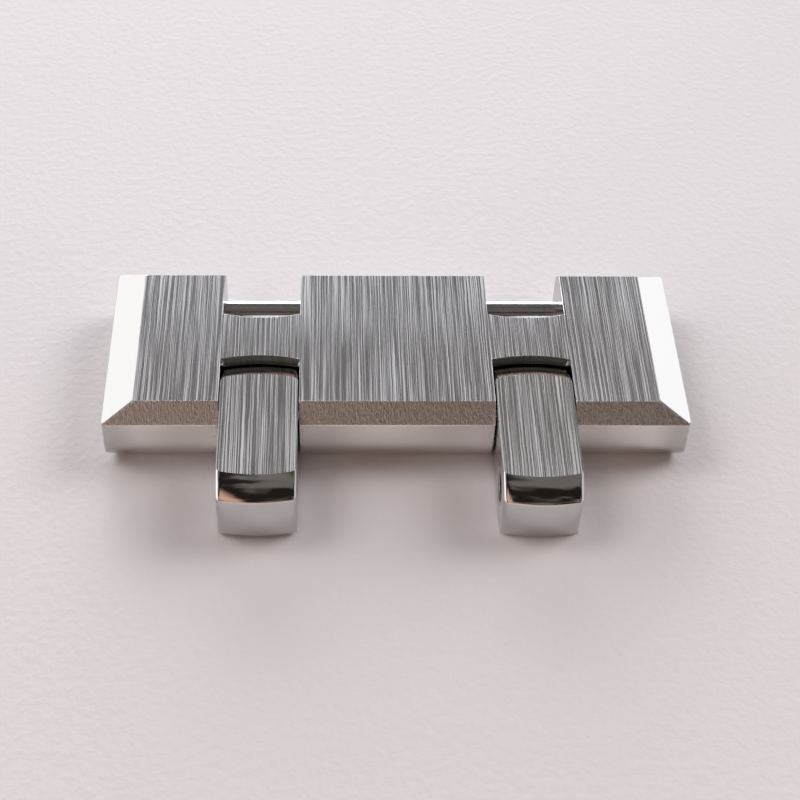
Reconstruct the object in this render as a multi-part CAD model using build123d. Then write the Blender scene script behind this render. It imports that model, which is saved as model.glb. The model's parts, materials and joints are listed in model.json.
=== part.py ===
from build123d import *
from math import asin, atan2, degrees, hypot, sqrt
import os

# One wide link of a watch bracelet, with the two studs that join it to the next link
# and the four bar screws that the studs turn on.
# Millimetres. X runs across the wrist, the studs point along -Y, and Z is up.
# The origin is the middle of the wide link's flat underside.

# Wide link, outside
link_width = 26.2
link_length = 9.8
link_height = 3.2
end_bevel_run = 1.41
face_bevel_run = 0.83
bevel_drop = 0.73
face_lower_round = 0.9
end_lower_round = 0.45

# Slots that take the studs, two in front and two behind
slot_width = 3.58
slot_pitch = 12.29
slot_depth = 3.66
wall_arc_radius = 7.0
lip_height = 0.8
relief_depth = 0.7

# Bar screws: a plain shank between a slotted head and a threaded tip
bar_inset = 1.78
bar_radius = 0.625
bar_head_radius = 0.75
bar_head_length = 0.5
bar_head_sink = 0.05
bar_seat_depth = 0.6
thread_radius = 0.5
thread_length = 1.4
screw_slot_width = 0.2
screw_slot_depth = 0.22
bar_clearance = 0.015
bar_end_gap = 0.1
screw_slot_turns = {"front_left": 24.0, "front_right": -38.0, "rear_left": 71.0, "rear_right": 8.0}

# Studs: both ends alike, each with a bore for a bar
stud_pitch = 4.39
stud_height = 2.95
stud_bevel_run = 1.09
stud_bevel_drop = 0.655
stud_side_gap = 0.065
stud_end_gap = 0.07
stud_edge_break = 0.07
stud_lower_round = 0.12
stud_bore_play = 0.035
stud_bore_break = 0.08

# Fold of the studs, in degrees down from straight, and how the part lies on a table:
# the right stud's tip touches the table, and the left one hangs by a share of that angle
fold_up_limit = -3.0
fold_down_limit = 45.0
left_rest_share = 0.4

# How far every cutting shape reaches past the surface that it cuts
overrun = 1.0

# Worked out from the values above
bar_height = link_height / 2
bar_offset = link_length / 2 - bar_inset
slot_centre = slot_pitch / 2
centre_block_edge = slot_centre - slot_width / 2
wall_reach = slot_depth - bar_inset
stud_half_width = slot_width / 2 - stud_side_gap
stud_end_reach = wall_reach - stud_end_gap
stud_top = link_height - bar_height
stud_bore_radius = bar_radius + stud_bore_play


def arc_drop(half_width):
    """How far the slot wall's arc falls back at this distance from its middle."""
    return wall_arc_radius - sqrt(wall_arc_radius**2 - half_width**2)


def stud_tip_angle():
    """Fold at which the rounded lower edge of a stud's free end touches the table."""
    reach = stud_pitch + stud_end_reach - stud_lower_round
    depth = stud_height - stud_top - stud_lower_round
    fall = bar_height - stud_lower_round
    return degrees(asin(fall / hypot(reach, depth)) - atan2(depth, reach))


def bevelled_section(width, bevel_run, lower_round):
    """Outline of the link from the front or the side: bevelled above, rounded below."""
    half = width / 2
    shoulder = link_height - bevel_drop
    corners = [
        (-half, 0),
        (-half, shoulder),
        (-half + bevel_run, link_height),
        (half - bevel_run, link_height),
        (half, shoulder),
        (half, 0),
    ]
    outline = make_face(Polyline(*corners, close=True))
    lower_corners = outline.vertices().group_by(Axis.Y)[0]
    return fillet(lower_corners, lower_round)


def link_block():
    """The wide link before anything is cut: two outlines that meet in mitred corners."""
    side_view = bevelled_section(link_length, face_bevel_run, face_lower_round)
    front_view = bevelled_section(link_width, end_bevel_run, end_lower_round)
    long_way = extrude(Plane.YZ * side_view, link_width / 2, both=True)
    short_way = extrude(Plane.XZ * front_view, link_length / 2, both=True)
    return long_way & short_way


def strip_with_arc(half_width, reach, tail):
    """A flat strip along Y whose end bulges out to reach and whose other end is square."""
    side = reach - arc_drop(half_width)
    outline = Polyline((-half_width, side), (-half_width, -tail), (half_width, -tail), (half_width, side))
    bulge = ThreePointArc((half_width, side), (0, reach), (-half_width, side))
    return make_face(outline + bulge)


def slot_cut():
    """One slot, seen from its bar's axis, with the deeper relief below the lip."""
    tail = bar_inset + overrun
    through = extrude(strip_with_arc(slot_width / 2, wall_reach, tail), link_height + 2 * overrun)
    relief_face = strip_with_arc(slot_width / 2, wall_reach + relief_depth, tail)
    relief = extrude(relief_face, link_height - lip_height + overrun)
    return Pos(0, 0, -overrun) * (through + relief)


def rod_along_x(start, steps):
    """A turned rod from start towards +X, one cylinder for each (length, radius) step."""
    pieces = []
    for length, radius in steps:
        cylinder = Cylinder(radius, length, align=(Align.CENTER, Align.CENTER, Align.MIN))
        pieces.append(Pos(start, 0, 0) * Rot(0, 90, 0) * cylinder)
        start += length
    return pieces[0].fuse(*pieces[1:])


def bar_lengths():
    """Start of the bar's tip and the lengths of its thread, shank and head, on the +X side."""
    head_face = link_width / 2 - bar_head_sink
    shoulder = centre_block_edge - bar_seat_depth
    shank_length = head_face - bar_head_length - shoulder
    return shoulder - thread_length, shank_length


def bar_screw(turn):
    """One bar screw on the +X side, with its axis on the X axis."""
    tip, shank_length = bar_lengths()
    rod = rod_along_x(
        tip,
        [(thread_length, thread_radius), (shank_length, bar_radius), (bar_head_length, bar_head_radius)],
    )
    slot = Box(2 * screw_slot_depth, 2 * (bar_head_radius + overrun), screw_slot_width)
    head_face = link_width / 2 - bar_head_sink
    return rod - Pos(head_face, 0, 0) * Rot(turn, 0, 0) * slot


def bar_hole():
    """The stepped hole that a bar screw goes into, from the end face to past its tip."""
    tip, shank_length = bar_lengths()
    return rod_along_x(
        tip - bar_end_gap,
        [
            (thread_length, thread_radius + bar_clearance),
            (shank_length + bar_end_gap, bar_radius + bar_clearance),
            (bar_head_length + bar_head_sink + overrun, bar_head_radius + bar_clearance),
        ],
    )


def each_corner():
    """Name, side and end of the four places where the link has a slot and a bar."""
    for end_name, end in (("front", -1), ("rear", 1)):
        for side_name, side in (("left", -1), ("right", 1)):
            yield f"{end_name}_{side_name}", side, end


def link_body():
    """The wide link with its four slots and four stepped bar holes."""
    body = link_block()
    for _, side, end in each_corner():
        facing = Rot(0, 0, 180 if end > 0 else 0)
        body -= Pos(side * slot_centre, end * bar_offset, 0) * facing * slot_cut()
        turned = Rot(0, 0, 180 if side < 0 else 0)
        body -= Pos(0, end * bar_offset, bar_height) * turned * bar_hole()
    return body


def stud_plan():
    """Outline of a stud from above, with its hinge bore on the origin."""
    half = stud_half_width
    rear_side = stud_end_reach - arc_drop(half)
    front_side = -stud_pitch - rear_side
    front_tip = -stud_pitch - stud_end_reach
    edges = [
        Line((half, front_side), (half, rear_side)),
        ThreePointArc((half, rear_side), (0, stud_end_reach), (-half, rear_side)),
        Line((-half, rear_side), (-half, front_side)),
        ThreePointArc((-half, front_side), (0, front_tip), (half, front_side)),
    ]
    return make_face(edges)


def stud_bevel_cut():
    """What the polished bevel takes off a stud's rear end, swept along the bevel's slope."""
    half = stud_half_width + overrun
    edge = stud_end_reach - stud_bevel_run
    side = edge - arc_drop(half)
    outer = stud_end_reach + overrun
    outline = Polyline((-half, side), (-half, outer), (half, outer), (half, side))
    brushed_edge = ThreePointArc((half, side), (0, edge), (-half, side))
    slope = hypot(stud_bevel_run, stud_bevel_drop)
    return extrude(make_face(outline + brushed_edge), slope, dir=(0, stud_bevel_run, -stud_bevel_drop))


def stud():
    """One stud lying straight, with its hinge axis on the X axis and its free end towards -Y."""
    block = Pos(0, 0, stud_top - stud_height) * extrude(stud_plan(), stud_height)
    bevel = Pos(0, 0, stud_top) * stud_bevel_cut()
    middle = Pos(0, -stud_pitch / 2, 0)
    block -= bevel
    block -= middle * Rot(0, 0, 180) * middle.inverse() * bevel
    lower_arcs = block.faces().sort_by(Axis.Z)[0].edges().filter_by(GeomType.CIRCLE)
    block = fillet(lower_arcs, stud_lower_round)
    sides = block.faces().filter_by(Axis.X)
    block = chamfer(sides.edges(), stud_edge_break)
    for bore_at in (0, -stud_pitch):
        block -= Pos(0, bore_at, 0) * Rot(0, 90, 0) * Cylinder(stud_bore_radius, slot_width)
    mouths = block.faces().filter_by(Axis.X).edges().filter_by(GeomType.CIRCLE)
    return chamfer(mouths, stud_bore_break)


def hinged_stud(side, fold):
    """A stud in its slot on the front bar, folded down from straight by fold degrees."""
    return Pos(side * slot_centre, -bar_offset, bar_height) * Rot(fold, 0, 0) * stud()


def build_part():
    """Every piece at rest, by name."""
    pieces = {"link_body": link_body()}
    for name, side, end in each_corner():
        turned = Rot(0, 0, 180 if side < 0 else 0)
        bar = bar_screw(screw_slot_turns[name])
        pieces[f"{name}_bar"] = Pos(0, end * bar_offset, bar_height) * turned * bar
    right_rest = stud_tip_angle()
    pieces["left_stud"] = hinged_stud(-1, left_rest_share * right_rest)
    pieces["right_stud"] = hinged_stud(1, right_rest)
    return pieces


def print_joint_facts():
    """The hinge lines and ranges, for the part's record."""
    right_rest = stud_tip_angle()
    for name, side, rest in (("left", -1, left_rest_share * right_rest), ("right", 1, right_rest)):
        print(f"{name} hinge at ({side * slot_centre:.4f}, {-bar_offset:.4f}, {bar_height:.4f})")
        print(f"  rest {rest:.4f} deg, range {fold_up_limit - rest:.3f} to {fold_down_limit - rest:.3f} deg")
        free_bore = Rot(rest, 0, 0) * Pos(0, -stud_pitch, 0)
        offset = free_bore.position
        print(f"  free bore at y {offset.Y - bar_offset:.4f}, z {offset.Z + bar_height:.4f}")


os.makedirs("parts", exist_ok=True)
for node_name, piece in build_part().items():
    export_step(piece, f"parts/{node_name}.step")
print_joint_facts()
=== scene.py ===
# %% [markdown]
# # A steel watch bracelet link
# The part is one wide link of a steel bracelet. Two studs hinge in its front slots and join it to
# the next link, and four slotted bar screws cross its slots. Its shape, sizes and hinges are
# settled by an engineering model, which is loaded here as a frame that never changes.
# What is left is what a polisher does: break the edges, and give every face its own finish.

# %% Load the fixed frame
import json
from math import asin, cos, hypot, pi, radians, sin, sqrt

import bmesh
import bpy
from mathutils import Matrix, Vector


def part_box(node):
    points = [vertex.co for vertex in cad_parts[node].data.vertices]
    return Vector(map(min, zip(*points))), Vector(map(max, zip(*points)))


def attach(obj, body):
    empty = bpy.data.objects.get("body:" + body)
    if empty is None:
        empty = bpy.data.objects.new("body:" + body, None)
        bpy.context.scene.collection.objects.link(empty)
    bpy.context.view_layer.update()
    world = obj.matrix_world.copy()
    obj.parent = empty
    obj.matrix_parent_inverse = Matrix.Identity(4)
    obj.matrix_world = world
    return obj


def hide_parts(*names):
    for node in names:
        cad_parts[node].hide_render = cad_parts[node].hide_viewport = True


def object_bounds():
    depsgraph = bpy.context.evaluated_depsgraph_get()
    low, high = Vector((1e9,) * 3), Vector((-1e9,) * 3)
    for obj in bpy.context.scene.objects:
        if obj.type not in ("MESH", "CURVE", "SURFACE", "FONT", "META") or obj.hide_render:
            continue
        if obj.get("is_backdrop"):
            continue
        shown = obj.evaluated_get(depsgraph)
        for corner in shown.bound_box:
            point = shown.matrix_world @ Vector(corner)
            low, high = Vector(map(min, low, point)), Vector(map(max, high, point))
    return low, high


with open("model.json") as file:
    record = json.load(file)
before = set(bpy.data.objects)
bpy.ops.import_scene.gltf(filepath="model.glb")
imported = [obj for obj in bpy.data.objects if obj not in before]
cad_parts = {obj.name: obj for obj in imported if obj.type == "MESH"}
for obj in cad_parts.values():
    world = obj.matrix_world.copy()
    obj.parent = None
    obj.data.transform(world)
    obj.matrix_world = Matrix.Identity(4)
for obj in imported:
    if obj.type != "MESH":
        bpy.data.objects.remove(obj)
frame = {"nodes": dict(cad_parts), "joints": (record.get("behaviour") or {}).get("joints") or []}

cad_low, cad_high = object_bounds()
print("nodes:", ", ".join(sorted(frame["nodes"])))

# %% [markdown]
# ## Units and colours
# Blender counts in metres, but a part this small is drawn in millimetres. The shapes are built on
# a bench in millimetres, because Blender's cutting and edge tools blur anything under about a
# thousandth of a unit, and are brought to metres in one place at the end.
# Colours are written as the hex values that a colour picker shows. Light adds up in linear
# values, so one function turns the first into the second.

# %% Millimetres and colours
MM = 0.001


def colour(hex_value):
    """A hex colour, as a picker shows it, as the linear RGBA that a shader wants."""
    parts = [int(hex_value[i : i + 2], 16) / 255 for i in (1, 3, 5)]
    linear = [c / 12.92 if c <= 0.04045 else ((c + 0.055) / 1.055) ** 2.4 for c in parts]
    return (*linear, 1.0)


link_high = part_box("link_body")[1] / MM
link_width = 2 * link_high.x
link_length = 2 * link_high.y
link_height = link_high.z
print(f"link {link_width:.2f} x {link_length:.2f} x {link_height:.2f} mm")

# %% [markdown]
# ## The camera
# The link lies almost square to a camera that looks down at it at about 47 degrees from 74 mm
# away. Its place was worked out from the corners of the link in the reference picture. It could
# be given as bare coordinates, but a point to aim at, a distance and three angles say what a
# photographer would say. The lens is long, so the far edge is only a little shorter than the
# near one, and a small sideways shift stands for a picture that was cropped off centre.

# %% Camera
def new_object(name, data):
    """An object in the scene, with this data."""
    thing = bpy.data.objects.new(name, data)
    bpy.context.scene.collection.objects.link(thing)
    return thing


camera_aim = Vector((-1.22, -4.01, link_height))
camera_distance = 73.6
camera_elevation = radians(46.93)
camera_heading = radians(2.30)
camera_roll = radians(1.72)
frame_pixels = 800
focal_pixels = 1664
middle_pixels = 370

forward = Vector(
    (
        sin(camera_heading) * cos(camera_elevation),
        cos(camera_heading) * cos(camera_elevation),
        -sin(camera_elevation),
    )
)
level_right = Vector((cos(camera_heading), -sin(camera_heading), 0))
level_up = level_right.cross(forward)
right = level_right * cos(camera_roll) + level_up * sin(camera_roll)
up = level_up * cos(camera_roll) - level_right * sin(camera_roll)

lens = bpy.data.cameras.new("camera")
lens.lens = focal_pixels / frame_pixels * lens.sensor_width
lens.shift_x = (frame_pixels / 2 - middle_pixels) / frame_pixels
lens.clip_start = 0.005
lens.clip_end = 20
camera = new_object("camera", lens)
camera.matrix_world = Matrix.Translation((camera_aim - forward * camera_distance) * MM) @ Matrix(
    (right, up, -forward)
).transposed().to_4x4()
bpy.context.scene.camera = camera
bpy.context.scene.view_settings.view_transform = "Standard"
print(f"lens {lens.lens:.1f} mm, shift {lens.shift_x:.3f}")

# %% [markdown]
# ## One helper for shader nodes
# Every finish below is a small network of nodes. Each node needs a kind, some settings, and
# values or links on its inputs, so one function does that and nothing else. A value that stays
# the same all over a surface goes straight onto the shader.

# %% Node helper


def add_node(tree, kind, inputs=None, **settings):
    """Adds a node, sets it, and fills its inputs with values or with other nodes' outputs."""
    node = tree.nodes.new(kind)
    for name, value in settings.items():
        setattr(node, name, value)
    for name, value in (inputs or {}).items():
        if isinstance(value, bpy.types.NodeSocket):
            tree.links.new(value, node.inputs[name])
        else:
            node.inputs[name].default_value = value
    return node


def new_material(name):
    """An empty material: itself, its tree, its Object coordinates and the surface to fill."""
    material = bpy.data.materials.new(name)
    material.use_nodes = True
    tree = material.node_tree
    tree.nodes.clear()
    place = add_node(tree, "ShaderNodeTexCoord").outputs["Object"]
    return material, tree, place, add_node(tree, "ShaderNodeOutputMaterial").inputs["Surface"]


# %% [markdown]
# ## Light
# Polished steel has hardly any colour of its own: it shows the room. The room here is a small
# dim studio with soft patches of light. The strongest stands low behind the link, a little to the
# left, and throws a soft shadow to the front. Its two ends reach up on either side, and the
# polished end bevels mirror them and turn white. A light on the right and one high on the left
# reach over the link and thin the shadow out, and wide low glows on both sides stand for white
# walls. What the front bevels mirror is the dim, warm wall over the camera. The ceiling is dim.
# This could be built from lamps and cards. A world whose brightness depends only on the direction
# is simpler, and it lights every side of the link in the same way. Each light is a round patch of
# sky: a heading clockwise from straight behind the link, a height above the floor, a radius and a
# soft border, all in degrees, then a strength and a colour. Between them lies a dim room with
# uneven rows of shelves, so that a mirror bevel has something to show.

# %% Studio world
studio_lights = {
    "low light behind": (-6.0, 6.0, 22.0, 6.0, 8.4, "#F4F8FF"),
    "end of it left": (-44.0, 20.0, 14.0, 5.0, 1.28, "#FFFFFF"),
    "end of it right": (44.0, 22.0, 14.0, 5.0, 1.45, "#FFFFFF"),
    "side light right": (66.0, 39.0, 14.0, 5.0, 6.3, "#FFFFFF"),
    "high light left": (-68.0, 53.0, 13.0, 5.0, 4.8, "#FFFFFF"),
    "white wall left": (-90.0, 5.0, 38.0, 8.0, 1.5, "#FFFDFC"),
    "white wall right": (90.0, 5.0, 30.0, 8.0, 0.7, "#FFFDFC"),
    "low wall in front": (180.0, 8.0, 26.0, 10.0, 0.8, "#FFDEC8"),
    "wall over the camera": (-150.0, 47.0, 10.0, 4.0, 0.84, "#FFC9AF"),
    "ceiling": (0.0, 90.0, 17.0, 5.0, 0.05, "#F2F0EA"),
}
room_dark, room_grey = colour("#27211E"), colour("#78736C")
shelf_rows = (2.0, 9.0, 3.0)
shelf_dark, shelf_pale = 0.45, 0.55

world = bpy.data.worlds.new("studio")
bpy.context.scene.world = world
world.use_nodes = True
sky = world.node_tree
sky.nodes.clear()
direction = add_node(sky, "ShaderNodeTexCoord").outputs["Generated"]
rows = add_node(sky, "ShaderNodeMapping", {"Vector": direction, "Scale": shelf_rows}).outputs[0]
clutter = add_node(sky, "ShaderNodeTexNoise", {"Vector": rows, "Scale": 1.0}).outputs["Fac"]
shelves = add_node(
    sky, "ShaderNodeMapRange", {"Value": clutter, "From Min": shelf_dark, "From Max": shelf_pale}
).outputs["Result"]
room = add_node(
    sky, "ShaderNodeMix", {0: shelves, 6: room_dark, 7: room_grey}, data_type="RGBA"
).outputs[2]
room_light = add_node(sky, "ShaderNodeBackground", {"Color": room}).outputs[0]
for name, (heading, height, radius, border, strength, tint) in studio_lights.items():
    heading, height = radians(heading), radians(height)
    toward = (sin(heading) * cos(height), cos(heading) * cos(height), sin(height))
    closeness = add_node(
        sky, "ShaderNodeVectorMath", {0: direction, 1: toward}, operation="DOT_PRODUCT"
    ).outputs["Value"]
    glow = add_node(
        sky,
        "ShaderNodeMapRange",
        {
            "Value": closeness,
            "From Min": cos(radians(radius + border)),
            "From Max": cos(radians(radius - border)),
            "To Max": strength,
        },
        interpolation_type="SMOOTHSTEP",
    ).outputs["Result"]
    patch = add_node(sky, "ShaderNodeBackground", {"Color": colour(tint), "Strength": glow}).outputs[0]
    room_light = add_node(sky, "ShaderNodeAddShader", {0: room_light, 1: patch}).outputs[0]
add_node(sky, "ShaderNodeOutputWorld", {"Surface": room_light})
print("lights:", ", ".join(studio_lights))

# %% [markdown]
# ## The floor
# The link lies on a pale, slightly pink sheet with a very fine grain. Its colour is painted a
# little paler towards the back, as painted light. It is one large level square, and the grain is a
# faint bump, 0.4 mm across, so it shows only where the light grazes it. Its own colour is pale,
# so no light is turned up for it.

# %% Floor
floor_half = 4.0
floor_grain, floor_relief, floor_softness = 0.40 * MM, 0.10 * MM, 0.3
floor_front, floor_back = -14 * MM, 18 * MM
# Painted light: a dimmer tone at the front and a paler one at the back.
dimmer_front_tone, lighter_back_tone = colour("#D9D3D5"), colour("#DDD8DB")
floor_roughness = 0.6
floor_mesh = bpy.data.meshes.new("floor")
floor_corners = [(x * floor_half, y * floor_half, 0) for x, y in ((-1, -1), (1, -1), (1, 1), (-1, 1))]
floor_mesh.from_pydata(floor_corners, [], [(0, 1, 2, 3)])
floor = new_object("floor", floor_mesh)

floor_paper, tree, place, surface = new_material("pale grained sheet")
grain = add_node(tree, "ShaderNodeTexNoise", {"Vector": place, "Scale": 1 / floor_grain}).outputs["Fac"]
relief = add_node(
    tree, "ShaderNodeBump", {"Height": grain, "Strength": floor_softness, "Distance": floor_relief}
).outputs["Normal"]
# Painted light: the sheet's colour runs from the dimmer front tone to the paler back tone.
towards_back = add_node(tree, "ShaderNodeSeparateXYZ", {"Vector": place}).outputs["Y"]
painted_light_share = add_node(
    tree,
    "ShaderNodeMapRange",
    {"Value": towards_back, "From Min": floor_front, "From Max": floor_back},
    interpolation_type="SMOOTHSTEP",
).outputs["Result"]
tone = add_node(
    tree, "ShaderNodeMix", {0: painted_light_share, 6: dimmer_front_tone, 7: lighter_back_tone}, data_type="RGBA"
).outputs[2]
paper = add_node(
    tree, "ShaderNodeBsdfPrincipled", {"Base Color": tone, "Roughness": floor_roughness, "Normal": relief}
).outputs[0]
tree.links.new(paper, surface)
floor_mesh.materials.append(floor_paper)
floor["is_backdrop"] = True
print(f"floor {2 * floor_half:.0f} m square")

# %% [markdown]
# ## Steel finishes
# The whole part is 316L stainless steel, a warm neutral grey metal. Only the way its surface was
# made differs from face to face, and that changes how sharp its reflections are:
# - the tops are drawn over an abrasive belt, which leaves long straight streaks;
# - the end bevels and the studs' bevels are polished to a mirror on a felt wheel;
# - the front and rear bevels have a fine, short grain;
# - the faces below them are rubbed to a satin, half way between;
# - the slots and holes are left as the cutter leaves them.
# They differ most in roughness and in the relief that bends the reflections. That is closer to
# the real thing than painting light and dark streaks. Most of their colours lie close together,
# and grooves swallow a little light. Some light and shade is painted into the colours, though:
# the satin faces are painted brighter than steel, a painted sheen, and darker towards the
# link's ends, a painted shade; the ends, corners and mitre flats are painted darker, a painted
# shade; and the slots and holes get a darker grey along the cutter marks, a painted shade.

# %% Steel colours
steel_colour = colour("#D2D1D2")
# Painted sheen: the satin's colour is brighter than steel's, so the front faces mirror more light.
satin_painted_bright = colour("#ECE8E5")
brushed_colour = colour("#CAC9CB")
# Painted shade: a darker steel for the link's ends, corners and mitre flats, and for the satin near the
# ends.
painted_shade_colour = colour("#C6C3C1")
# Painted shade: mixed in along the cutter marks, it darkens every slot wall and hole.
painted_slot_shade = colour("#6E6A67")
# A noise runs from 0 to 1, but nearly all of it lies between these two.
usual_noise = {"From Min": 0.3, "From Max": 0.7}
print("steel, linear:", [round(c, 3) for c in steel_colour[:3]])

# %% [markdown]
# ### Brushed tops
# A belt leaves grooves about a hundredth of a millimetre wide and several millimetres long. Some
# are deeper and catch the light as bright threads, which is how the eye knows the finish. Two
# layers of noise, stretched from front to rear, make the relief, one 0.055 mm and one 0.032 mm
# wide. That is coarser than real, because the picture has only one pixel for each 0.045 mm. The
# rest is left to the shader, which blurs reflections across the grooves more than along them. A
# slow wander keeps the streaks from looking ruled.

# %% Brushed steel
streak_width, streak_length = 0.055 * MM, 12.0 * MM
hair_width, hair_length = 0.032 * MM, 8.0 * MM
wander_length, wander = 1.2 * MM, 0.04 * MM
groove_depth = 0.0068 * MM
hair_share = 0.6
thread_from, thread_to = 0.78, 0.96
groove_roughness, thread_roughness, groove_blur = 0.27, 0.52, 0.6


def brushed_steel(name, offset):
    """Belt-brushed steel with its streaks along Y. The offset in mm keeps two pieces from matching."""
    material, tree, place, surface = new_material(name)
    moved = add_node(
        tree, "ShaderNodeMapping", {"Vector": place, "Location": (offset * MM, offset * MM, 0)}
    ).outputs[0]
    drift = add_node(
        tree, "ShaderNodeTexNoise", {"Vector": moved, "Scale": 1 / wander_length}, noise_dimensions="2D"
    ).outputs["Color"]
    wobble = add_node(
        tree, "ShaderNodeVectorMath", {0: drift, 1: (wander, 0, 0)}, operation="MULTIPLY"
    ).outputs[0]
    bent = add_node(tree, "ShaderNodeVectorMath", {0: moved, 1: wobble}, operation="ADD").outputs[0]
    stretched = add_node(
        tree, "ShaderNodeMapping", {"Vector": bent, "Scale": (1 / streak_width, 1 / streak_length, 1)}
    ).outputs[0]
    streaks = add_node(
        tree,
        "ShaderNodeTexNoise",
        {"Vector": stretched, "Scale": 1.0, "Detail": 3.0, "Roughness": 0.6},
        noise_dimensions="2D",
    ).outputs["Fac"]
    thin = add_node(
        tree, "ShaderNodeMapping", {"Vector": bent, "Scale": (1 / hair_width, 1 / hair_length, 1)}
    ).outputs[0]
    hairs = add_node(
        tree, "ShaderNodeTexNoise", {"Vector": thin, "Scale": 1.0}, noise_dimensions="2D"
    ).outputs["Fac"]
    grooves = add_node(
        tree, "ShaderNodeMath", {0: hairs, 1: hair_share, 2: streaks}, operation="MULTIPLY_ADD"
    ).outputs[0]
    threads = add_node(
        tree,
        "ShaderNodeMapRange",
        {"Value": grooves, "From Min": thread_from, "From Max": thread_to},
        interpolation_type="SMOOTHSTEP",
    ).outputs["Result"]
    relief = add_node(tree, "ShaderNodeBump", {"Height": grooves, "Distance": groove_depth}).outputs[0]
    shine = add_node(
        tree,
        "ShaderNodeMapRange",
        {"Value": threads, "To Min": groove_roughness, "To Max": thread_roughness},
    ).outputs["Result"]
    across = add_node(tree, "ShaderNodeCombineXYZ", {"X": 1.0}).outputs[0]
    metal = add_node(
        tree,
        "ShaderNodeBsdfPrincipled",
        {
            "Base Color": brushed_colour,
            "Metallic": 1.0,
            "Roughness": shine,
            "Anisotropic": groove_blur,
            "Tangent": across,
            "Normal": relief,
        },
    ).outputs[0]
    tree.links.new(metal, surface)
    return material


# %% [markdown]
# ### Mirror polish
# The wheel leaves no lines, only a faint waviness a millimetre or so across that bends the
# reflections a little, as in any small hand-held part. A few smears change the gloss. The eye gets
# a piece of the room in each bevel: white where it faces a light, and almost black elsewhere.

# %% Mirror-polished steel
wave_size, wave_depth = 1.1 * MM, 0.010 * MM
smear_size = 0.7 * MM
cleanest = 0.04


def mirror_steel(name, dullest):
    """Wheel-polished steel. Its roughness runs from a clean mirror's to the dullest value."""
    material, tree, place, surface = new_material(name)
    waves = add_node(
        tree, "ShaderNodeTexNoise", {"Vector": place, "Scale": 1 / wave_size, "Detail": 1.0}
    ).outputs["Fac"]
    relief = add_node(tree, "ShaderNodeBump", {"Height": waves, "Distance": wave_depth}).outputs[0]
    smears = add_node(
        tree, "ShaderNodeTexNoise", {"Vector": place, "Scale": 1 / smear_size, "Detail": 3.0}
    ).outputs["Fac"]
    shine = add_node(
        tree, "ShaderNodeMapRange", {"Value": smears, **usual_noise, "To Min": cleanest, "To Max": dullest}
    ).outputs["Result"]
    metal = add_node(
        tree,
        "ShaderNodeBsdfPrincipled",
        {"Base Color": steel_colour, "Metallic": 1.0, "Roughness": shine, "Normal": relief},
    ).outputs[0]
    tree.links.new(metal, surface)
    return material


# %% [markdown]
# ### Grain and satin
# The front bevel was run over a worn belt across its width. Its grain is 0.07 mm wide, longer
# down the slope than along it, and it breaks the reflection up into specks. The face below was
# rubbed by hand, so it has the same grain, only shallower: it mirrors the floor in front, but
# blurred. Towards the link's ends its colour is painted darker, a painted shade that dims what
# it mirrors there.

# %% Grained and satin steel
grain_width, grain_length = 0.07 * MM, 0.20 * MM
# Painted shade: between these insets from the link's ends the satin's colour turns to the darker tint.
shade_insets = 1.8, 0.5
shade_start, shade_full = ((link_width / 2 - inset) * MM for inset in shade_insets)


def grained_steel(name, depth, roughest, smoothest, smear=0.0, tint=steel_colour, shade_tint=None):
    """Steel with a short grain up and down the face. Smear blurs reflections more in height.

    A shade tint, where there is one, takes over from the tint near the link's ends: a painted shade."""
    material, tree, place, surface = new_material(name)
    stretched = add_node(
        tree,
        "ShaderNodeMapping",
        {"Vector": place, "Scale": (1 / grain_width, 1 / grain_length, 1 / grain_length)},
    ).outputs[0]
    grain = add_node(
        tree,
        "ShaderNodeTexNoise",
        {"Vector": stretched, "Scale": 1.0, "Detail": 3.0, "Roughness": 0.6},
    ).outputs["Fac"]
    relief = add_node(tree, "ShaderNodeBump", {"Height": grain, "Distance": depth}).outputs[0]
    shine = add_node(
        tree, "ShaderNodeMapRange", {"Value": grain, **usual_noise, "To Min": roughest, "To Max": smoothest}
    ).outputs["Result"]
    # Painted shade: the colour darkens towards the link's ends.
    if shade_tint:
        sideways = add_node(tree, "ShaderNodeSeparateXYZ", {"Vector": place}).outputs["X"]
        outwards = add_node(tree, "ShaderNodeMath", {0: sideways}, operation="ABSOLUTE").outputs[0]
        shaded_share = add_node(
            tree,
            "ShaderNodeMapRange",
            {"Value": outwards, "From Min": shade_start, "From Max": shade_full},
            interpolation_type="SMOOTHSTEP",
        ).outputs["Result"]
        tint = add_node(
            tree, "ShaderNodeMix", {0: shaded_share, 6: tint, 7: shade_tint}, data_type="RGBA"
        ).outputs[2]
    upwards = add_node(tree, "ShaderNodeCombineXYZ", {"Z": 1.0}).outputs[0]
    metal = add_node(
        tree,
        "ShaderNodeBsdfPrincipled",
        {
            "Base Color": tint,
            "Metallic": 1.0,
            "Roughness": shine,
            "Anisotropic": smear,
            "Tangent": upwards,
            "Normal": relief,
        },
    ).outputs[0]
    tree.links.new(metal, surface)
    return material


# %% [markdown]
# ### Cut and turned faces
# Inside the slots the steel is as the milling cutter left it, with marks that run up and down.
# A darker grey is painted in along the marks, a painted shade, so the eye reads it as deep. The
# bars were turned on a lathe and polished, so what is left of the tool runs round them, and a
# bright line of light lies along each.

# %% Milled and turned steel
cutter_mark = 0.09 * MM
lathe_mark = 0.06 * MM


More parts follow.
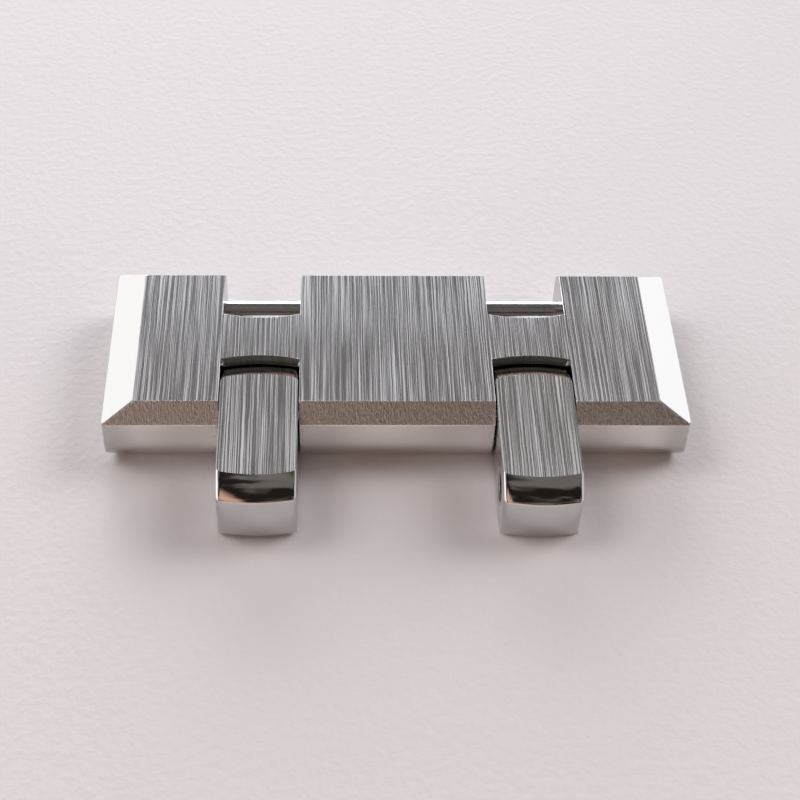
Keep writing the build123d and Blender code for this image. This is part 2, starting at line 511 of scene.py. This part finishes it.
def tooled_steel(name, mark_scale, depth, roughness, darkest):
    """Steel with a cutter's marks, closest together along the axis with the largest scale."""
    material, tree, place, surface = new_material(name)
    stretched = add_node(tree, "ShaderNodeMapping", {"Vector": place, "Scale": mark_scale}).outputs[0]
    marks = add_node(tree, "ShaderNodeTexNoise", {"Vector": stretched, "Scale": 1.0}).outputs["Fac"]
    relief = add_node(tree, "ShaderNodeBump", {"Height": marks, "Distance": depth}).outputs[0]
    tint = add_node(
        tree, "ShaderNodeMix", {0: marks, 6: darkest, 7: steel_colour}, data_type="RGBA"
    ).outputs[2]
    metal = add_node(
        tree,
        "ShaderNodeBsdfPrincipled",
        {"Base Color": tint, "Metallic": 1.0, "Roughness": roughness, "Normal": relief},
    ).outputs[0]
    tree.links.new(metal, surface)
    return material


# %% [markdown]
# ## Shapes on the bench
# A link like this is cut from bar stock in passes, one for its side outline and one for its front
# outline, and the slots and holes are milled and drilled into that. The same route works here:
# solid prisms from outlines, and cutters taken away from them with the exact Boolean solver.
# Every outline is in millimetres.

# %% Bench tools
arc_steps = 10
turned_sides = 48


def bench_object(name, mesh_builder):
    """Puts a bmesh into a new object, with its faces pointing outwards."""
    bmesh.ops.recalc_face_normals(mesh_builder, faces=mesh_builder.faces)
    mesh = bpy.data.meshes.new(name)
    mesh_builder.to_mesh(mesh)
    mesh_builder.free()
    return new_object(name, mesh)


def add_skin(builder, loops):
    """Adds a solid through a row of loops with equally many points, closed at both ends."""
    loops = [[builder.verts.new(point) for point in loop] for loop in loops]
    builder.faces.new(loops[0])
    builder.faces.new(loops[-1])
    for loop, following in zip(loops, loops[1:]):
        for i in range(len(loop)):
            j = (i + 1) % len(loop)
            builder.faces.new((loop[i], loop[j], following[j], following[i]))


def add_prism(builder, outline, low, high, axis):
    """Adds a solid with the same outline at both ends, between two heights on an axis."""
    k = "xyz".index(axis)
    add_skin(builder, [[(*point[:k], c, *point[k:]) for point in outline] for c in (low, high)])


def add_turned(builder, profile, centre, side=1):
    """Adds a turned solid on a line along X. The profile is (x, radius) from end to end."""
    turns = [2 * pi * k / turned_sides for k in range(turned_sides)]
    loops = [
        [(side * x, centre.y + radius * cos(t), centre.z + radius * sin(t)) for t in turns]
        for x, radius in profile
    ]
    add_skin(builder, loops)


def applied(thing, **options):
    """The object's mesh with its modifiers applied."""
    graph = bpy.context.evaluated_depsgraph_get()
    return bpy.data.meshes.new_from_object(thing.evaluated_get(graph), depsgraph=graph, **options)


def shaped(bench, *steps):
    """The object's mesh after Boolean steps (operation, tool), with the tools thrown away."""
    for operation, tool in steps:
        cut = bench.modifiers.new(tool.name, "BOOLEAN")
        cut.solver = "EXACT"
        cut.operation = operation
        cut.object = tool
    mesh = applied(bench)
    for thing in (bench, *(tool for _, tool in steps)):
        bpy.data.objects.remove(thing)
    return mesh


def arc(centre, radius, start, end, steps=arc_steps):
    """Points on an arc, with both ends. Angles are in degrees."""
    angles = [radians(start + (end - start) * i / steps) for i in range(steps + 1)]
    return [(centre[0] + radius * cos(a), centre[1] + radius * sin(a)) for a in angles]


# %% [markdown]
# ### Broken edges
# No edge on a real part is sharp. A tiny round, a few hundredths of a millimetre, catches a thread
# of light, and the eye reads that thread as metal. How wide it is depends on the two finishes that
# meet there: a belt leaves a soft edge and a wheel a crisp one. So each face first gets its
# finish, each edge then gets a weight from the pair, and one Bevel modifier rounds them all.
# Weighted normals keep the large faces flat to the eye. Wider rounds come from the outlines
# themselves, because a bevel wider than the facets beside it would twist them.

# %% Edge rounding
edge_segments = 3
sharp_from, shaded_from = radians(20), radians(35)


def give_finishes(mesh, finish_of, finishes):
    """Gives each face the material slot of its finish."""
    mesh.materials.clear()
    names = list(finishes)
    for material in finishes.values():
        mesh.materials.append(material)
    for face in mesh.polygons:
        face.material_index = names.index(finish_of(face.center, face.normal))


def edge_weights(mesh, finishes, rounds):
    """Writes each outer edge's share of the widest round, from the finishes that meet there."""
    names = list(finishes)
    widest = max(rounds.values())
    builder = bmesh.new()
    builder.from_mesh(mesh)
    weight = builder.edges.layers.float.new("bevel_weight_edge")
    for edge in builder.edges:
        if len(edge.link_faces) == 2 and edge.calc_face_angle_signed() > sharp_from:
            pair = frozenset(names[face.material_index] for face in edge.link_faces)
            edge[weight] = rounds.get(pair, 0) / widest
    builder.to_mesh(mesh)
    builder.free()
    return widest


def keep_crisp(mesh, finishes, rounds):
    """Marks edges between two finishes that have no round as sharp, so no shading crosses them."""
    names = list(finishes)
    builder = bmesh.new()
    builder.from_mesh(mesh)
    for edge in builder.edges:
        pair = frozenset(names[face.material_index] for face in edge.link_faces)
        if len(pair) == 2 and pair not in rounds:
            edge.smooth = False
    builder.to_mesh(mesh)
    builder.free()


def finished_piece(name, mesh, finish_of, finishes, rounds):
    """The finished object in metres: finishes on its faces, edges rounded, normals weighted.

    Rounds gives a width in mm for a pair of finishes, whose names may meet in either order."""
    rounds = {frozenset(pair.split()): width for pair, width in rounds.items()}
    give_finishes(mesh, finish_of, finishes)
    widest = edge_weights(mesh, finishes, rounds)
    bench = new_object(name + "_bench", mesh)
    rounding = bench.modifiers.new("rounding", "BEVEL")
    rounding.limit_method = "WEIGHT"
    rounding.width = widest
    rounding.segments = edge_segments
    rounding.use_clamp_overlap = False
    mesh = shaped(bench)
    mesh.transform(Matrix.Scale(MM, 4))
    mesh.polygons.foreach_set("use_smooth", [True] * len(mesh.polygons))
    mesh.set_sharp_from_angle(angle=shaded_from)
    keep_crisp(mesh, finishes, rounds)
    piece = new_object(name, mesh)
    normals = piece.modifiers.new("normals", "WEIGHTED_NORMAL")
    normals.keep_sharp = True
    piece.data = applied(piece, preserve_all_data_layers=True)
    piece.modifiers.clear()
    return piece


# %% [markdown]
# ## The wide link
# Seen from the side, the link is a bevelled bar with a rounded underside. Seen from the front, it
# has two longer bevels at its ends. The two outlines extruded through each other give the mitred
# corners by themselves, and a third, from above, rounds the upright corners. The front and rear
# faces are a few hundredths of a millimetre full, as hand-rubbed faces are, which spreads what
# they mirror into a soft band. The slots reach in from the front and the rear and end in a wide
# arc, and under a thin lip at the top they go deeper, so that a stud has room to swing.

# %% Link sizes
end_bevel_run, face_bevel_run, bevel_drop = 1.41, 0.83, 0.73
face_lower_round, end_lower_round = 0.9, 0.65
face_lower_rise, end_lower_rise = 1.3, 1.0
corner_round, corner_steps = 0.30, 6
mitre_break, mitre_lean = 0.026, 0.65
face_crown, crown_steps = 0.035, 6
slot_width, slot_pitch, slot_depth = 3.58, 12.29, 3.66
wall_arc_radius, lip_height, relief_depth = 7.0, 0.8, 0.7
bar_inset, bar_radius, bar_clearance = 1.78, 0.625, 0.015
overrun = 1.0

shoulder_height = link_height - bevel_drop
slot_centre = slot_pitch / 2
bar_height = link_height / 2
bar_offset = link_length / 2 - bar_inset
wall_reach = slot_depth - bar_inset
corners = [("front_left", -1, -1), ("front_right", 1, -1), ("rear_left", -1, 1), ("rear_right", 1, 1)]


def bevelled_outline(width, run, lower_round, rise, crown):
    """The outline from the front or side: bevelled above, rounded below, a little full between."""
    half = width / 2
    quarter = arc((0, 1), 1, -90, 0)
    lower = [(half - lower_round + lower_round * a, rise * b) for a, b in quarter]
    crowned = []
    steps = crown_steps if crown else 1
    for i in range(1, steps + 1):
        share = i / steps
        pulled_in = crown * share**2
        crowned.append((half - pulled_in, rise + share * (shoulder_height - rise)))
    right_side = [*lower, *crowned, (half - run, link_height)]
    return right_side + [(-a, b) for a, b in reversed(right_side)]


def arc_drop(half_width):
    """How far the slot wall's arc falls back at this distance from its middle."""
    return wall_arc_radius - sqrt(wall_arc_radius**2 - half_width**2)


def slot_outline(side, end, reach):
    """A slot from above: square outside the link and bulging to reach inside it."""
    half_angle = asin(slot_width / 2 / wall_arc_radius) * 180 / pi
    middle = (side * slot_centre, end * (bar_offset - reach + wall_arc_radius))
    inner = arc(middle, wall_arc_radius, -90 * end - half_angle, -90 * end + half_angle)
    outer_y = end * (link_length / 2 + overrun)
    return [*inner, (inner[-1][0], outer_y), (inner[0][0], outer_y)]


# %% The block's outlines
block = bmesh.new()
side_outline = bevelled_outline(
    link_length, face_bevel_run, face_lower_round, face_lower_rise, face_crown
)
add_prism(block, side_outline, -link_width, link_width, "x")
ends_tool = bmesh.new()
front_outline = bevelled_outline(link_width, end_bevel_run, end_lower_round, end_lower_rise, 0.0)
add_prism(ends_tool, front_outline, -link_length, link_length, "y")
corners_tool = bmesh.new()
plan_half_x, plan_half_y = link_width / 2 - corner_round, link_length / 2 - corner_round
right_half = arc((plan_half_x, -plan_half_y), corner_round, -90, 0, corner_steps)
right_half += arc((plan_half_x, plan_half_y), corner_round, 0, 90, corner_steps)
plan_outline = right_half + [(-a, b) for a, b in reversed(right_half)]
add_prism(corners_tool, plan_outline, -overrun, link_height + overrun, "z")
print(f"outlines: {len(side_outline)}, {len(front_outline)} and {len(plan_outline)} points")

# %% [markdown]
# ### Broken mitres
# Where an end bevel meets a front or rear bevel, the polisher takes the sharp line off with one
# stroke, which leaves a narrow flat. It faces no light, so the eye sees a thin dark line between
# the white bevel and the grained one. A rounded edge would face every light in turn and flash.
# All four flats lie on one low pyramid, so one solid cuts them together.

# %% The mitre pyramid
end_normal = Vector((bevel_drop, 0, end_bevel_run)).normalized()
face_normal = Vector((0, bevel_drop, face_bevel_run)).normalized()
mitre_normal = end_normal.lerp(face_normal, mitre_lean).normalized()
mitre_foot = Vector((link_width / 2, link_length / 2, shoulder_height))
mitre_reach = mitre_normal.dot(mitre_foot) - mitre_break
base_reach = mitre_reach + overrun * mitre_normal.z
base_x, base_y = base_reach / mitre_normal.x, base_reach / mitre_normal.y
mitres_tool = bmesh.new()
peak = mitres_tool.verts.new((0, 0, mitre_reach / mitre_normal.z))
feet = [
    mitres_tool.verts.new((x, y, -overrun))
    for x, y in ((base_x, 0), (0, base_y), (-base_x, 0), (0, -base_y))
]
mitres_tool.faces.new(feet)
for i, foot in enumerate(feet):
    mitres_tool.faces.new((foot, feet[(i + 1) % len(feet)], peak))
print(f"mitre pyramid: {peak.co.z:.2f} mm high")

# %% Slots and screw holes
slots, reliefs, holes = bmesh.new(), bmesh.new(), bmesh.new()
bar_head_radius, bar_head_depth, bar_seat_depth = 0.75, 0.55, 0.6
thread_radius, thread_length, bar_end_gap = 0.5, 1.4, 0.1
bar_shoulder = slot_centre - slot_width / 2 - bar_seat_depth
shoulder_seat, head_seat = bar_shoulder - bar_end_gap, link_width / 2 - bar_head_depth
close_fit = [
    (bar_shoulder - thread_length - bar_end_gap, thread_radius),
    (shoulder_seat, thread_radius),
    (shoulder_seat, bar_radius),
    (head_seat, bar_radius),
    (head_seat, bar_head_radius),
    (link_width / 2 + overrun, bar_head_radius),
]
hole_profile = [(x, radius + bar_clearance) for x, radius in close_fit]
for _, side, end in corners:
    wall = slot_outline(side, end, wall_reach)
    deeper_wall = slot_outline(side, end, wall_reach + relief_depth)
    add_prism(slots, wall, -overrun, link_height + overrun, "z")
    add_prism(reliefs, deeper_wall, -overrun, link_height - lip_height, "z")
    add_turned(holes, hole_profile, Vector((0, end * bar_offset, bar_height)), side)
print(f"slots and holes: {len(corners)} of each")

# %% Link block
link_mesh = shaped(
    bench_object("block", block),
    ("INTERSECT", bench_object("ends", ends_tool)),
    ("INTERSECT", bench_object("corners", corners_tool)),
    ("INTERSECT", bench_object("mitres", mitres_tool)),
    ("DIFFERENCE", bench_object("slots", slots)),
    ("DIFFERENCE", bench_object("reliefs", reliefs)),
    ("DIFFERENCE", bench_object("holes", holes)),
)
print(f"link block: {len(link_mesh.polygons)} faces")

# %% [markdown]
# ### Which face has which finish
# The direction a face looks in, and how far out it lies, are enough to tell its finish. The ends,
# the upright corners and the mitre flats were rubbed in the same stroke and share one, whose
# colour is painted darker, a painted shade. The rear bevel's grain is half as deep as the front
# bevel's, because the low light behind would make it glitter.

# %% Link finishes
# Painted shade: the slots and holes get the darker grey along the cutter marks.
cut_steel = tooled_steel(
    "milled steel",
    mark_scale=(1 / cutter_mark, 1 / cutter_mark, 0),
    depth=0.004 * MM,
    roughness=0.16,
    darkest=painted_slot_shade,
)
# Painted sheen and painted shade: a tint brighter than steel, turning darker towards the link's ends.
satin_steel = grained_steel(
    "hand-rubbed satin steel",
    depth=0.013 * MM,
    roughest=0.24,
    smoothest=0.14,
    smear=0.3,
    tint=satin_painted_bright,
    shade_tint=painted_shade_colour,
)
# Painted shade: the ends, upright corners and mitre flats get the darker tint.
rubbed_shaded_steel = grained_steel(
    "hand-rubbed steel of the ends with painted shade",
    depth=0.010 * MM,
    roughest=0.34,
    smoothest=0.24,
    tint=painted_shade_colour,
)
link_finishes = {
    "brushed": brushed_steel("belt-brushed steel of the link", offset=0.0),
    "mirror": mirror_steel("wheel-polished steel", dullest=0.09),
    "grained": grained_steel("fine-grained steel", 0.028 * MM, roughest=0.32, smoothest=0.20),
    "rear": grained_steel("fine-grained steel of the rear", 0.014 * MM, roughest=0.32, smoothest=0.20),
    "satin": satin_steel,
    "end": rubbed_shaded_steel,
    "base": grained_steel("ground steel of the underside", 0.003 * MM, roughest=0.40, smoothest=0.30),
    "cut": cut_steel,
    "mitre": rubbed_shaded_steel,
}
near, leaning = 0.01, 0.1


def link_finish(centre, normal):
    """The finish of one face of the wide link."""
    x, y, z = abs(centre.x), abs(centre.y), centre.z
    outer_end = x > link_width / 2 - end_lower_round - near and abs(normal.x) > abs(normal.y)
    corner = x > plan_half_x - near and y > plan_half_y - near
    outer_face = y > link_length / 2 - face_lower_round - near and normal.y * centre.y > 0
    if z > link_height - near and normal.z > 0:
        return "brushed"
    if min(abs(normal.x), abs(normal.y), normal.z) > leaning:
        return "mitre"
    if z > shoulder_height and normal.z > leaning:
        if abs(normal.x) > abs(normal.y):
            return "mirror"
        return "grained" if centre.y < 0 else "rear"
    if z < near and normal.z < 0:
        return "base"
    if corner or (outer_end and normal.x * centre.x > 0 and abs(normal.y) < near):
        return "end"
    if outer_face and abs(normal.x) < near:
        return "satin"
    return "cut"


link_rounds = {
    "brushed grained": 0.04,
    "brushed cut": 0.025,
    "mirror end": 0.03,
    "grained satin": 0.03,
    "rear satin": 0.03,
    "grained cut": 0.05,
    "rear cut": 0.03,
    "satin cut": 0.06,
    "end cut": 0.05,
    "satin end": 0.0,
}
link = finished_piece("brushed_link", link_mesh, link_finish, link_finishes, link_rounds)
print(f"link: {len(link.data.polygons)} faces, {len(link.data.vertices)} points")

# %% [markdown]
# ## The studs
# A stud is a small block with a bore at each end. All its slices across the width have the same
# side outline, only shorter towards the sides, because both ends bulge in the same arc as the
# slot wall. So the solid is a row of slices, which also gives the bevels their curved edges. The
# last slices on each side fall back a little more and round the upright corners. The bevels are
# crowned by a few hundredths of a millimetre, so a whole stretch of the room shows in each.

# %% Stud sizes
stud_pitch, stud_height = 4.39, 2.95
stud_bevel_run, stud_bevel_drop = 1.09, 0.655
bevel_crown = 0.03
stud_corner_round = 0.20
stud_side_gap, stud_end_gap, stud_lower_round = 0.065, 0.07, 0.12
stud_bore_play, stud_bore_break = 0.035, 0.08
stud_slices, stud_lower_steps = 8, 6

stud_half_width = slot_width / 2 - stud_side_gap
stud_end_reach = wall_reach - stud_end_gap
stud_top = link_height - bar_height
stud_bottom = stud_top - stud_height
stud_bore_radius = bar_radius + stud_bore_play


def stud_slice(drop):
    """The side outline (y, z) of a stud whose ends fall back by this much."""
    half = stud_pitch / 2 + stud_end_reach - drop
    lower_centre = (half - stud_lower_round, stud_bottom + stud_lower_round)
    lower = arc(lower_centre, stud_lower_round, -90, 0, stud_lower_steps)
    slope = hypot(stud_bevel_run, stud_bevel_drop)
    crowned = []
    for i in range(crown_steps + 1):
        share = i / crown_steps
        bulge = 4 * bevel_crown * share * (1 - share) / slope
        out = half - share * stud_bevel_run + bulge * stud_bevel_drop
        up = stud_top - (1 - share) * stud_bevel_drop + bulge * stud_bevel_run
        crowned.append((out, up))
    rear = [*lower, *crowned]
    outline = rear + [(-a, b) for a, b in reversed(rear)]
    return [(a - stud_pitch / 2, b) for a, b in outline]


def stud_solid():
    """A stud that lies straight, with its hinge axis on the X axis."""
    builder = bmesh.new()
    flat_half = stud_half_width - stud_corner_round
    places = [(flat_half * i / stud_slices, 0.0) for i in range(stud_slices + 1)]
    for i in range(1, corner_steps + 1):
        turn = radians(90 * i / corner_steps)
        aside, back = stud_corner_round * sin(turn), stud_corner_round * (1 - cos(turn))
        places.append((flat_half + aside, back))
    places = [(-x, back) for x, back in reversed(places[1:])] + places
    add_skin(builder, [[(x, *point) for point in stud_slice(arc_drop(x) + back)] for x, back in places])
    bores = bmesh.new()
    flare = stud_half_width - stud_bore_break
    wide = stud_bore_radius + stud_bore_break + overrun
    bore_profile = [
        (-flare - stud_bore_break - overrun, wide),
        (-flare, stud_bore_radius),
        (flare, stud_bore_radius),
        (flare + stud_bore_break + overrun, wide),
    ]
    for bore_y in (0, -stud_pitch):
        add_turned(bores, bore_profile, Vector((0, bore_y, 0)))
    return shaped(bench_object("stud", builder), ("DIFFERENCE", bench_object("bores", bores)))


# %% [markdown]
# ### How a stud is finished
# Its top is brushed in line with the link's and its bevels are wheel-polished. The rounded ends
# are only buffed, so they mirror the floor softly, and the sides, which slide along the slot, are
# ground and catch a broad sheen. The bores are as the drill left them.

# %% Stud finishes
stud_rounds = {
    "brushed side": 0.06,
    "mirror side": 0.05,
    "mirror end": 0.06,
    "end side": 0.06,
    "side bore": 0.02,
}
side_steel = grained_steel("ground steel of the stud's sides", 0.012 * MM, roughest=0.3, smoothest=0.2)
stud_mirror = mirror_steel("wheel-polished steel of the bevels", dullest=0.07)
stud_end_steel = mirror_steel("buffed steel of the stud's ends", dullest=0.16)
level, upright = 0.98, 0.999


def stud_finish(centre, normal):
    """The finish of one face of a stud that lies straight."""
    if normal.z > level and centre.z > stud_top - near:
        return "brushed"
    if abs(normal.x) > upright:
        return "side"
    if centre.z > stud_top - stud_bevel_drop - near:
        return "mirror"
    past_bore = abs(centre.y + stud_pitch / 2) > stud_pitch / 2 + stud_bore_radius + stud_bore_break
    if past_bore or centre.z < stud_bottom + near:
        return "end"
    return "bore"


# %% Two studs, folded as they lie
# The stops stand at 3 degrees above straight, so a joint's lower limit gives its fold at rest.
up_stop = -3.0
studs = {}
for name, offset in (("left_stud", 11.0), ("right_stud", 23.0)):
    joint = next(joint for joint in frame["joints"] if joint["child"] == name)
    fold = radians(up_stop - joint["range_deg"][0])
    finishes = {
        "brushed": brushed_steel(f"belt-brushed steel of the {name.replace('_', ' ')}", offset),
        "mirror": stud_mirror,
        "end": stud_end_steel,
        "side": side_steel,
        "bore": cut_steel,
    }
    stud = finished_piece("brushed_" + name, stud_solid(), stud_finish, finishes, stud_rounds)
    stud.data.transform(Matrix.Translation(joint["pos_m"]) @ Matrix.Rotation(fold, 4, "X"))
    studs[name] = stud
    print(f"{name}: {len(stud.data.polygons)} faces, folded {fold * 180 / pi:.2f} degrees")

# %% [markdown]
# ## The bar screws
# The four bars are alike: a plain shank that the stud turns on, a wider slotted head that sits in
# the end face, and a threaded tip. Four equal pieces that follow one rule are work for Geometry
# Nodes. The tree takes a profile line, (x, radius) from tip to head, and turns it like a lathe:
# a grid gets one row for each point of the profile and one column for each step round, and each
# grid point looks up its row's radius. A helix takes the thread out of the tip, and a Boolean
# cuts the slot. Place, side and slot angle are inputs, so one tree makes all four.

# %% Bar profile
bar_head_length, bar_head_sink = 0.5, 0.05
bar_edge_break = 0.05
thread_pitch, thread_depth = 0.25, 0.07
screw_slot_width, screw_slot_depth = 0.2, 0.22
screw_slot_turns = {"front_left": 24.0, "front_right": -38.0, "rear_left": 71.0, "rear_right": 8.0}
rows_per_turn = 8
weld_distance = 0.0005

bar_tip = bar_shoulder - thread_length
bar_head_face = link_width / 2 - bar_head_sink
bar_neck = bar_head_face - bar_head_length
thread_rows = round(thread_length / thread_pitch * rows_per_turn)
bar_profile = [(bar_tip, 0.0), (bar_tip, thread_radius - bar_edge_break)]
bar_profile += [
    (bar_tip + bar_edge_break + (thread_length - bar_edge_break) * i / thread_rows, thread_radius)
    for i in range(thread_rows + 1)
]
bar_profile += [
    (bar_shoulder, bar_radius - bar_edge_break),
    (bar_shoulder + bar_edge_break, bar_radius),
    (bar_neck, bar_radius),
    (bar_neck, bar_head_radius - bar_edge_break),
    (bar_neck + bar_edge_break, bar_head_radius),
    (bar_head_face - bar_edge_break, bar_head_radius),
    (bar_head_face, bar_head_radius - bar_edge_break),
    (bar_head_face, 0.0),
]
print(f"bar profile: {len(bar_profile)} points")

# %% The lathe as a node tree
lathe_inputs = {
    "Sides": ("NodeSocketInt", 64),
    "Place": ("NodeSocketVector", (0.0, 0.0, 0.0)),
    "Turn": ("NodeSocketVector", (0.0, 0.0, 0.0)),
    "Thread pitch": ("NodeSocketFloat", thread_pitch),
    "Thread depth": ("NodeSocketFloat", thread_depth),
    "Thread end": ("NodeSocketFloat", bar_shoulder),
    "Head face": ("NodeSocketFloat", bar_head_face),
    "Slot size": ("NodeSocketVector", (2 * screw_slot_depth, 4 * bar_head_radius, screw_slot_width)),
    "Slot turn": ("NodeSocketFloat", 0.0),
    "Finish": ("NodeSocketMaterial", None),
}
lathe = bpy.data.node_groups.new("screw_lathe", "GeometryNodeTree")
lathe.is_modifier = True
lathe.interface.new_socket("Geometry", in_out="OUTPUT", socket_type="NodeSocketGeometry")
lathe.interface.new_socket("Profile", in_out="INPUT", socket_type="NodeSocketGeometry")
for name, (kind, default) in lathe_inputs.items():
    socket = lathe.interface.new_socket(name, in_out="INPUT", socket_type=kind)
    if default is not None:
        socket.default_value = default
given = add_node(lathe, "NodeGroupInput").outputs

point_count = add_node(
    lathe, "GeometryNodeAttributeDomainSize", {"Geometry": given["Profile"]}
).outputs["Point Count"]
columns = add_node(lathe, "ShaderNodeMath", {0: given["Sides"], 1: 1.0}, operation="ADD").outputs[0]
grid = add_node(
    lathe, "GeometryNodeMeshGrid", {"Vertices X": point_count, "Vertices Y": columns}
).outputs["Mesh"]
index = add_node(lathe, "GeometryNodeInputIndex").outputs[0]
share = add_node(lathe, "ShaderNodeMath", {0: index, 1: columns}, operation="DIVIDE").outputs[0]
row = add_node(lathe, "ShaderNodeMath", {0: share}, operation="FLOOR").outputs[0]
column = add_node(lathe, "ShaderNodeMath", {0: index, 1: columns}, operation="MODULO").outputs[0]
turn_share = add_node(
    lathe, "ShaderNodeMath", {0: column, 1: given["Sides"]}, operation="DIVIDE"
).outputs[0]
angle = add_node(lathe, "ShaderNodeMath", {0: turn_share, 1: 2 * pi}, operation="MULTIPLY").outputs[0]
position = add_node(lathe, "GeometryNodeInputPosition").outputs[0]
row_place = add_node(
    lathe,
    "GeometryNodeSampleIndex",
    {"Geometry": given["Profile"], "Value": position, "Index": row},
    data_type="FLOAT_VECTOR",
    domain="POINT",
).outputs["Value"]
outline = add_node(lathe, "ShaderNodeSeparateXYZ", {"Vector": row_place}).outputs
print(f"lathe: {len(lathe.nodes)} nodes so far")

# %% Thread, slot and place
# Ping-pong folds each turn into a ramp up to a half and down again, which halves the thread depth.
helix = add_node(
    lathe, "ShaderNodeMath", {0: outline["X"], 1: given["Thread pitch"]}, operation="DIVIDE"
).outputs[0]
phase = add_node(lathe, "ShaderNodeMath", {0: helix, 1: turn_share}, operation="SUBTRACT").outputs[0]
flank = add_node(lathe, "ShaderNodeMath", {0: phase, 1: 0.5}, operation="PINGPONG").outputs[0]
groove = add_node(
    lathe, "ShaderNodeMath", {0: flank, 1: given["Thread depth"]}, operation="MULTIPLY"
).outputs[0]
on_thread = add_node(
    lathe, "ShaderNodeMath", {0: outline["X"], 1: given["Thread end"]}, operation="LESS_THAN"
).outputs[0]
off_axis = add_node(
    lathe, "ShaderNodeMath", {0: outline["Y"], 1: given["Thread depth"]}, operation="GREATER_THAN"
).outputs[0]
cuts = add_node(lathe, "ShaderNodeMath", {0: on_thread, 1: off_axis}, operation="MULTIPLY").outputs[0]
cut_depth = add_node(lathe, "ShaderNodeMath", {0: groove, 1: cuts}, operation="MULTIPLY").outputs[0]
radius = add_node(
    lathe, "ShaderNodeMath", {0: outline["Y"], 1: cut_depth}, operation="SUBTRACT"
).outputs[0]
cosine = add_node(lathe, "ShaderNodeMath", {0: angle}, operation="COSINE").outputs[0]
sine = add_node(lathe, "ShaderNodeMath", {0: angle}, operation="SINE").outputs[0]
across = add_node(lathe, "ShaderNodeMath", {0: radius, 1: cosine}, operation="MULTIPLY").outputs[0]
high = add_node(lathe, "ShaderNodeMath", {0: radius, 1: sine}, operation="MULTIPLY").outputs[0]
turned_place = add_node(
    lathe, "ShaderNodeCombineXYZ", {"X": outline["X"], "Y": across, "Z": high}
).outputs[0]
turned = add_node(lathe, "GeometryNodeSetPosition", {"Geometry": grid, "Position": turned_place}).outputs[0]
closed = add_node(
    lathe, "GeometryNodeMergeByDistance", {"Geometry": turned, "Distance": weld_distance}
).outputs[0]
blade = add_node(lathe, "GeometryNodeMeshCube", {"Size": given["Slot size"]}).outputs["Mesh"]
blade_place = add_node(lathe, "ShaderNodeCombineXYZ", {"X": given["Head face"]}).outputs[0]
blade_turn = add_node(lathe, "ShaderNodeCombineXYZ", {"X": given["Slot turn"]}).outputs[0]
set_blade = add_node(
    lathe,
    "GeometryNodeTransform",
    {"Geometry": blade, "Translation": blade_place, "Rotation": blade_turn},
).outputs[0]
slotted = add_node(
    lathe,
    "GeometryNodeMeshBoolean",
    {"Mesh 1": closed, "Mesh 2": set_blade},
    operation="DIFFERENCE",
    solver="EXACT",
).outputs["Mesh"]
placed = add_node(
    lathe,
    "GeometryNodeTransform",
    {"Geometry": slotted, "Translation": given["Place"], "Rotation": given["Turn"]},
).outputs[0]
real = add_node(lathe, "GeometryNodeRealizeInstances", {"Geometry": placed}).outputs[0]
dressed = add_node(
    lathe, "GeometryNodeSetMaterial", {"Geometry": real, "Material": given["Finish"]}
).outputs[0]
add_node(lathe, "NodeGroupOutput", {"Geometry": dressed})
sockets = [item for item in lathe.interface.items_tree if item.in_out == "INPUT"]
lathe_keys = {socket.name: socket.identifier for socket in sockets}
print("lathe inputs:", ", ".join(lathe_keys))

# %% Four bar screws
bar_steel = tooled_steel(
    "turned and polished steel",
    mark_scale=(1 / lathe_mark, 0, 0),
    depth=0.004 * MM,
    roughness=0.20,
    darkest=steel_colour,
)
bar_shaded_from = radians(30)
bars = {}
for name, side, end in corners:
    profile_mesh = bpy.data.meshes.new("profile")
    profile_mesh.from_pydata([(x, r, 0) for x, r in bar_profile], [], [])
    bar = new_object(f"{name}_bar_screw", profile_mesh)
    turning = bar.modifiers.new("lathe", "NODES")
    turning.node_group = lathe
    turning[lathe_keys["Place"]] = (0.0, end * bar_offset, bar_height)
    turning[lathe_keys["Turn"]] = (0.0, 0.0, pi if side < 0 else 0.0)
    turning[lathe_keys["Slot turn"]] = radians(screw_slot_turns[name])
    turning[lathe_keys["Finish"]] = bar_steel
    bar.data = applied(bar)
    bar.modifiers.clear()
    bar.data.transform(Matrix.Scale(MM, 4))
    bar.data.polygons.foreach_set("use_smooth", [True] * len(bar.data.polygons))
    bar.data.set_sharp_from_angle(angle=bar_shaded_from)
    bars[name] = bar
    print(f"{bar.name}: {len(bar.data.polygons)} faces")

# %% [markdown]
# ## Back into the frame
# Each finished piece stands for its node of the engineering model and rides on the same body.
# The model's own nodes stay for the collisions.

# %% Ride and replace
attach(link, "link")
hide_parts("link_body")
for name, stud in studs.items():
    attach(stud, name)
    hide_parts(name)
for name, bar in bars.items():
    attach(bar, "link")
    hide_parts(f"{name}_bar")

# %% Sizes and the last check
new_low, new_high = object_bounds()
growth = (new_high - new_low) - (cad_high - cad_low)
print("grown by, in mm:", [round(side / MM, 4) for side in growth])
